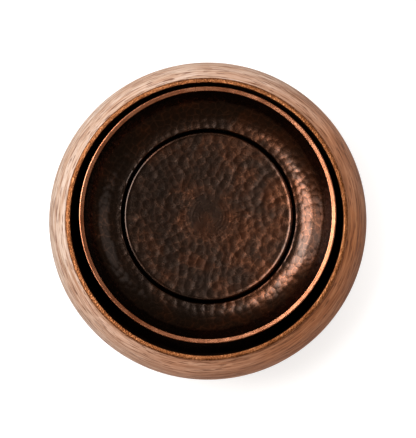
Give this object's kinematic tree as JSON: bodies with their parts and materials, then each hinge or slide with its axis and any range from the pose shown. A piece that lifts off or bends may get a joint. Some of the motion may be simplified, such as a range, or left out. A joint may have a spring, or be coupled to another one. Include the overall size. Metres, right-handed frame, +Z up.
{
  "type": "tabletop water fountain",
  "caption": "Round overflow fountain: wooden vessel with a copper-lined mouth, a loose hammered copper basin with a centre disc, and a small pump inside.",
  "frame": {"origin": "on the table, on the vessel's axis", "axes": "+Z up, +Y to the back, where the power socket is, +X to the right"},
  "size_m": [0.324, 0.324, 0.1115],
  "materials": {
    "wood": "ring-laminated and turned, matt oil",
    "tub_copper": "antiqued copper, granular on the rolled lip",
    "dark_copper": "hammered copper with a dark brown patina",
    "bright_copper": "polished copper",
    "steel": "stainless, brushed",
    "black_steel": "black powder coat",
    "rubber": "matt moulded rubber",
    "black_plastic": "fine moulded texture",
    "grey_plastic": "fine moulded texture",
    "clear_tube": "translucent silicone",
    "sponge": "open-cell foam",
    "winding": "enamelled copper wire",
    "ferrite": "sintered ferrite",
    "ceramic": "ground ceramic",
    "brass": "turned brass"
  },
  "bodies": {
    "vessel": {"outer_shell": "wood", "reservoir_liner": "tub_copper", "base_plate": "black_steel", "base_screw_1": "steel", "base_screw_2": "steel", "base_screw_3": "steel", "base_screw_4": "steel", "rubber_foot_1": "rubber", "rubber_foot_2": "rubber", "rubber_foot_3": "rubber", "rubber_foot_4": "rubber", "gland_body": "black_plastic", "gland_seal": "rubber", "gland_cap": "black_plastic", "gland_nut": "black_plastic", "dc_inlet": "black_plastic", "inlet_nut": "steel", "pump_lead": "rubber", "support_ring": "steel", "basin_gasket": "rubber", "stand_post_1": "steel", "stand_post_2": "steel", "stand_post_3": "steel", "post_pad_1": "rubber", "post_pad_2": "rubber", "post_pad_3": "rubber", "ring_screw_1": "steel", "ring_screw_2": "steel", "ring_screw_3": "steel", "pump_body": "black_plastic", "motor_back_cover": "black_plastic", "stator_core": "steel", "stator_coil_left": "winding", "stator_coil_right": "winding", "impeller_housing": "black_plastic", "front_bush": "rubber", "rear_bush": "rubber", "rotor_shaft": "ceramic", "suction_cup_1": "rubber", "suction_cup_2": "rubber", "suction_cup_3": "rubber", "suction_cup_4": "rubber", "lead_boot": "rubber", "riser_tube": "clear_tube", "hose_clip": "steel"},
    "impeller": {"impeller": "grey_plastic", "rotor_magnet": "ferrite"},
    "intake_cover": {"intake_cover": "black_plastic", "filter_sponge": "sponge"},
    "flow_dial": {"flow_dial": "grey_plastic"},
    "basin": {"basin": "dark_copper", "basin_rim_band": "bright_copper", "disc_spacer_1": "brass", "disc_spacer_2": "brass", "disc_spacer_3": "brass", "outlet_fitting": "black_plastic", "outlet_gasket": "rubber", "outlet_nut": "black_plastic"},
    "diffuser_disc": {"diffuser_disc": "dark_copper"}
  },
  "joints": [
    {"name": "impeller_spin", "type": "hinge", "parent": "vessel", "child": "impeller", "pos_m": [0.001, 0.004, 0.0323], "axis": [0, 1, 0], "continuous": true},
    {"name": "intake_cover_pull", "type": "slide", "parent": "vessel", "child": "intake_cover", "axis": [0, -1, 0], "range_m": [0, 0.03]},
    {"name": "flow_dial_turn", "type": "hinge", "parent": "intake_cover", "child": "flow_dial", "pos_m": [0.001, -0.019, 0.0323], "axis": [0, 1, 0], "range_deg": [0, 60]},
    {"name": "basin_lift", "type": "slide", "parent": "vessel", "child": "basin", "axis": [0, 0, 1], "range_m": [0, 0.09]},
    {"name": "disc_lift", "type": "slide", "parent": "basin", "child": "diffuser_disc", "axis": [0, 0, 1], "range_m": [0, 0.06]}
  ]
}
